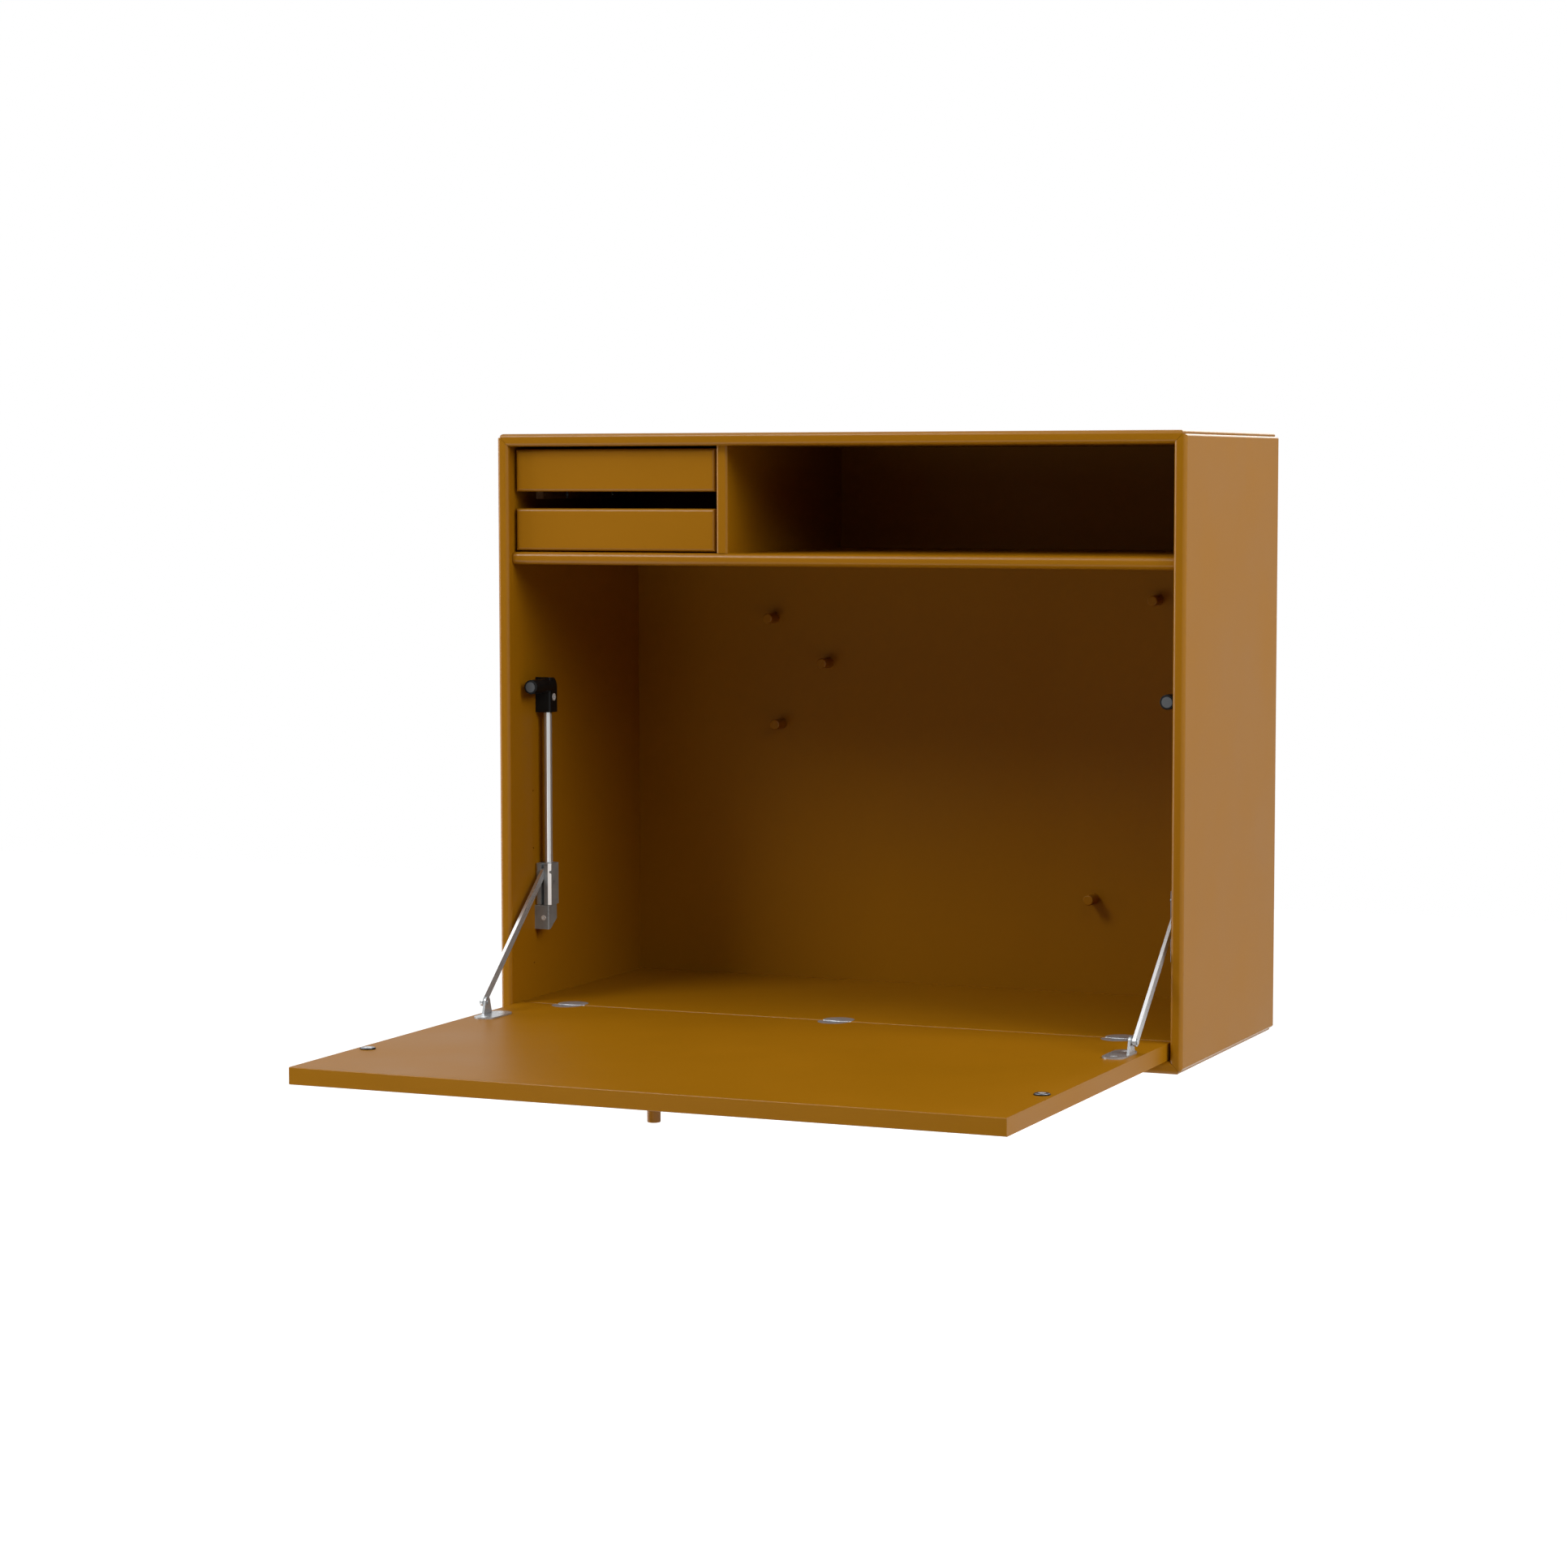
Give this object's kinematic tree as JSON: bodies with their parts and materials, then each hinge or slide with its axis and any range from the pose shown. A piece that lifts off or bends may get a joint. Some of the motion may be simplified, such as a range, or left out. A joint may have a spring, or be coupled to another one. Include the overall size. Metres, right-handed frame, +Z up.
{
  "type": "fold-down wall desk",
  "caption": "Wall-hung fold-down desk: a mitred lacquered box whose flap drops on flush hinges and sliding stays to make a writing surface, with a shelf, a divider and pull-out trays.",
  "frame": {"origin": "on the wall plane, at mid width, level with the underside of the box", "axes": "+X to the right seen from the room, +Y into the wall, +Z up"},
  "size_m": [0.696, 0.7255, 0.5886],
  "materials": {
    "lacquer": "satin amber-brown lacquer",
    "tray_board": "thin satin lacquer",
    "beech": "bare beech",
    "nickel": "bright nickel plate",
    "grey_diecast": "satin grey die-cast",
    "zinc_steel": "zinc-plated steel",
    "black_plastic": "satin black moulding",
    "magnet": "dull steel-capped magnet",
    "glide_plastic": "smooth glide strip"
  },
  "bodies": {
    "carcass": {"left_side_panel": "lacquer", "right_side_panel": "lacquer", "top_panel": "lacquer", "bottom_panel": "lacquer", "back_panel": "lacquer", "floor_board": "lacquer", "shelf": "lacquer", "divider": "lacquer", "corner_splines": "beech", "shelf_dowels": "beech", "divider_dowels": "beech", "floor_dowels": "beech", "back_pegs": "lacquer", "wall_plates": "zinc_steel", "wall_plate_screws": "zinc_steel", "left_tray_runner": "beech", "right_tray_runner": "beech", "runner_screws": "zinc_steel", "lower_tray_glides": "glide_plastic", "left_hinge_floor_leaf": "nickel", "middle_hinge_floor_leaf": "nickel", "right_hinge_floor_leaf": "nickel", "left_stay_elbow": "black_plastic", "left_stay_rod": "nickel", "left_stay_foot": "grey_diecast", "right_stay_elbow": "black_plastic", "right_stay_rod": "nickel", "right_stay_foot": "grey_diecast", "catch_magnets": "magnet", "stay_clamp_screws": "zinc_steel"},
    "flap": {"flap_panel": "lacquer", "flap_knob": "lacquer", "knob_stud": "zinc_steel", "left_strike_plate": "nickel", "right_strike_plate": "nickel", "strike_screws": "zinc_steel", "left_flap_bracket": "nickel", "right_flap_bracket": "nickel", "bracket_screws": "zinc_steel", "bracket_pins": "nickel", "hinge_pins": "nickel", "left_hinge_flap_leaf": "nickel", "middle_hinge_flap_leaf": "nickel", "right_hinge_flap_leaf": "nickel"},
    "left_slider": {"left_stay_slider": "grey_diecast", "left_slider_pivot": "nickel"},
    "right_slider": {"right_stay_slider": "grey_diecast", "right_slider_pivot": "nickel"},
    "left_arm": {"left_stay_arm": "nickel"},
    "right_arm": {"right_stay_arm": "nickel"},
    "upper_tray": {"upper_tray_front": "lacquer", "upper_tray_left_side": "tray_board", "upper_tray_right_side": "tray_board", "upper_tray_back": "tray_board", "upper_tray_bottom": "tray_board"},
    "lower_tray": {"lower_tray_front": "lacquer", "lower_tray_left_side": "tray_board", "lower_tray_right_side": "tray_board", "lower_tray_back": "tray_board", "lower_tray_bottom": "tray_board"}
  },
  "joints": [
    {"name": "flap_fold", "type": "hinge", "parent": "carcass", "child": "flap", "pos_m": [0, -0.2887, 0.0192], "axis": [-1, 0, 0], "range_deg": [0, 90]},
    {"name": "left_slider_lift", "type": "slide", "parent": "carcass", "child": "left_slider", "axis": [0, 0, 1], "range_m": [0, 0.1218]},
    {"name": "right_slider_lift", "type": "slide", "parent": "carcass", "child": "right_slider", "axis": [0, 0, 1], "range_m": [0, 0.1218]},
    {"name": "left_arm_swing", "type": "hinge", "parent": "flap", "child": "left_arm", "pos_m": [0, -0.3745, 0.0403], "axis": [1, 0, 0], "range_deg": [0, 131.41]},
    {"name": "right_arm_swing", "type": "hinge", "parent": "flap", "child": "right_arm", "pos_m": [0, -0.3745, 0.0403], "axis": [1, 0, 0], "range_deg": [0, 131.41]},
    {"name": "upper_tray_slide", "type": "slide", "parent": "carcass", "child": "upper_tray", "axis": [0, -1, 0], "range_m": [0, 0.2]},
    {"name": "lower_tray_slide", "type": "slide", "parent": "carcass", "child": "lower_tray", "axis": [0, -1, 0], "range_m": [0, 0.2]}
  ],
  "couplings": [
    {"joint": "left_slider_lift", "follows": "flap_fold", "m_per_rad": 0.077538},
    {"joint": "right_slider_lift", "follows": "flap_fold", "m_per_rad": 0.077538},
    {"joint": "left_arm_swing", "follows": "flap_fold", "ratio": 1.46},
    {"joint": "right_arm_swing", "follows": "flap_fold", "ratio": 1.46}
  ]
}
